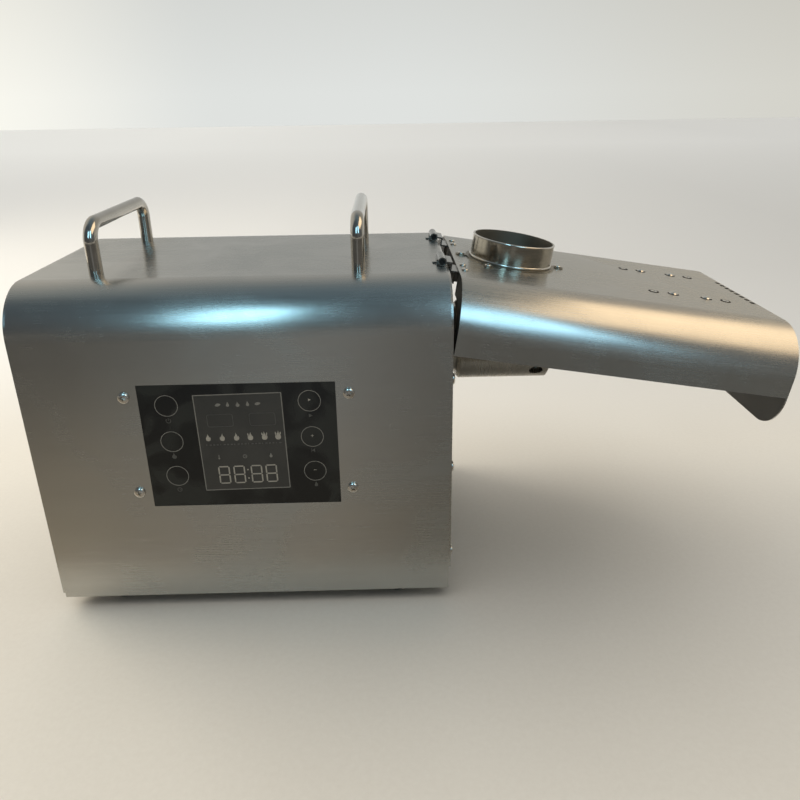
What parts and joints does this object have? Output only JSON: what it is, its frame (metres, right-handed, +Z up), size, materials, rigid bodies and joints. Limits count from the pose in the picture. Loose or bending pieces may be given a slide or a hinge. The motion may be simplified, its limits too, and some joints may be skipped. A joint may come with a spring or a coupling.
{
  "type": "screw oil press",
  "caption": "Bench oil press: folded steel casing with touch panel and lifting handles, geared motor, slotted press cage and screw under a hinged feed hood.",
  "frame": {"origin": "bottom centre of the overall box, on the surface the feet stand on", "axes": "+X along the press axis from the casing towards the hood's free end, +Y from the control panel side to the back, +Z up"},
  "size_m": [0.5536, 0.2222, 0.295],
  "materials": {
    "stainless": "brushed",
    "polished_steel": "polished",
    "zinc_steel": "satin",
    "bright_screws": "satin",
    "machined_steel": "machined",
    "cast_aluminium": "cast",
    "black_glass": "gloss",
    "board_green": "satin",
    "board_parts": "satin",
    "black_paint": "satin",
    "black_plastic": "matt",
    "rubber": "matt",
    "laminated_steel": "matt",
    "sink_aluminium": "extruded"
  },
  "bodies": {
    "casing": {"back_hinge_fixed_leaf": "stainless", "base_plate": "zinc_steel", "cage_lock_screw": "bright_screws", "cake_nozzle": "stainless", "cartridge_heaters": "machined_steel", "casing_wrap": "stainless", "control_board": "board_green", "display_module": "black_glass", "end_panel_screws": "bright_screws", "fan_frame": "black_plastic", "feed_housing": "stainless", "foot_left_back": "rubber", "foot_left_front": "rubber", "foot_right_back": "rubber", "foot_right_front": "rubber", "foot_screws": "zinc_steel", "front_hinge_fixed_leaf": "stainless", "gearbox_housing": "cast_aluminium", "gearbox_rear_plate": "cast_aluminium", "gearbox_screws": "zinc_steel", "gearbox_stand": "zinc_steel", "handle_left": "polished_steel", "handle_right": "polished_steel", "handle_screws": "zinc_steel", "heat_sink": "sink_aluminium", "hinge_pins": "bright_screws", "inlet_and_fan_screws": "bright_screws", "layshaft_bearings": "machined_steel", "left_end_panel": "stainless", "motor_can": "black_paint", "motor_rear_cap": "cast_aluminium", "motor_saddle": "zinc_steel", "nose_flange": "stainless", "output_bearing_front": "machined_steel", "output_bearing_rear": "machined_steel", "panel_screws": "bright_screws", "power_board": "board_parts", "power_inlet": "black_plastic", "press_cage": "stainless", "right_end_panel": "stainless", "switch_frame": "black_plastic", "temperature_probe": "machined_steel", "touch_panel": "black_glass"},
    "hood": {"hood": "stainless", "feed_collar": "polished_steel", "collar_screws": "bright_screws", "hinge_screws": "bright_screws", "hood_stiffener": "stainless", "hood_rivets": "bright_screws", "front_hinge_moving_leaf": "stainless", "back_hinge_moving_leaf": "stainless"},
    "press_line": {"output_wheel": "machined_steel", "output_shaft": "machined_steel", "press_screw": "stainless"},
    "layshaft": {"layshaft": "machined_steel", "layshaft_wheel": "machined_steel"},
    "rotor": {"motor_rotor": "laminated_steel", "motor_pinion": "machined_steel"},
    "fan": {"fan_rotor": "black_plastic"},
    "switch_key": {"switch_key": "black_plastic"}
  },
  "joints": [
    {"name": "hood_hinge", "type": "hinge", "parent": "casing", "child": "hood", "pos_m": [0.02625, 0, 0.2586], "axis": [0, -1, 0], "range_deg": [0, 105]},
    {"name": "motor_spin", "type": "hinge", "parent": "casing", "child": "rotor", "pos_m": [-0.12115, 0, 0.07612], "axis": [1, 0, 0], "continuous": true},
    {"name": "layshaft_spin", "type": "hinge", "parent": "casing", "child": "layshaft", "pos_m": [-0.01115, 0.032, 0.11774], "axis": [1, 0, 0], "continuous": true},
    {"name": "press_spin", "type": "hinge", "parent": "casing", "child": "press_line", "pos_m": [0.02884, 0, 0.18], "axis": [1, 0, 0], "continuous": true},
    {"name": "fan_spin", "type": "hinge", "parent": "casing", "child": "fan", "pos_m": [-0.25916, 0, 0.165], "axis": [1, 0, 0], "continuous": true},
    {"name": "power_switch", "type": "hinge", "parent": "casing", "child": "switch_key", "pos_m": [-0.26805, -0.005, 0.05], "axis": [0, 1, 0], "range_deg": [0, 16]}
  ],
  "couplings": [
    {"joint": "layshaft_spin", "follows": "motor_spin", "ratio": -0.25},
    {"joint": "press_spin", "follows": "motor_spin", "ratio": 0.0625}
  ]
}
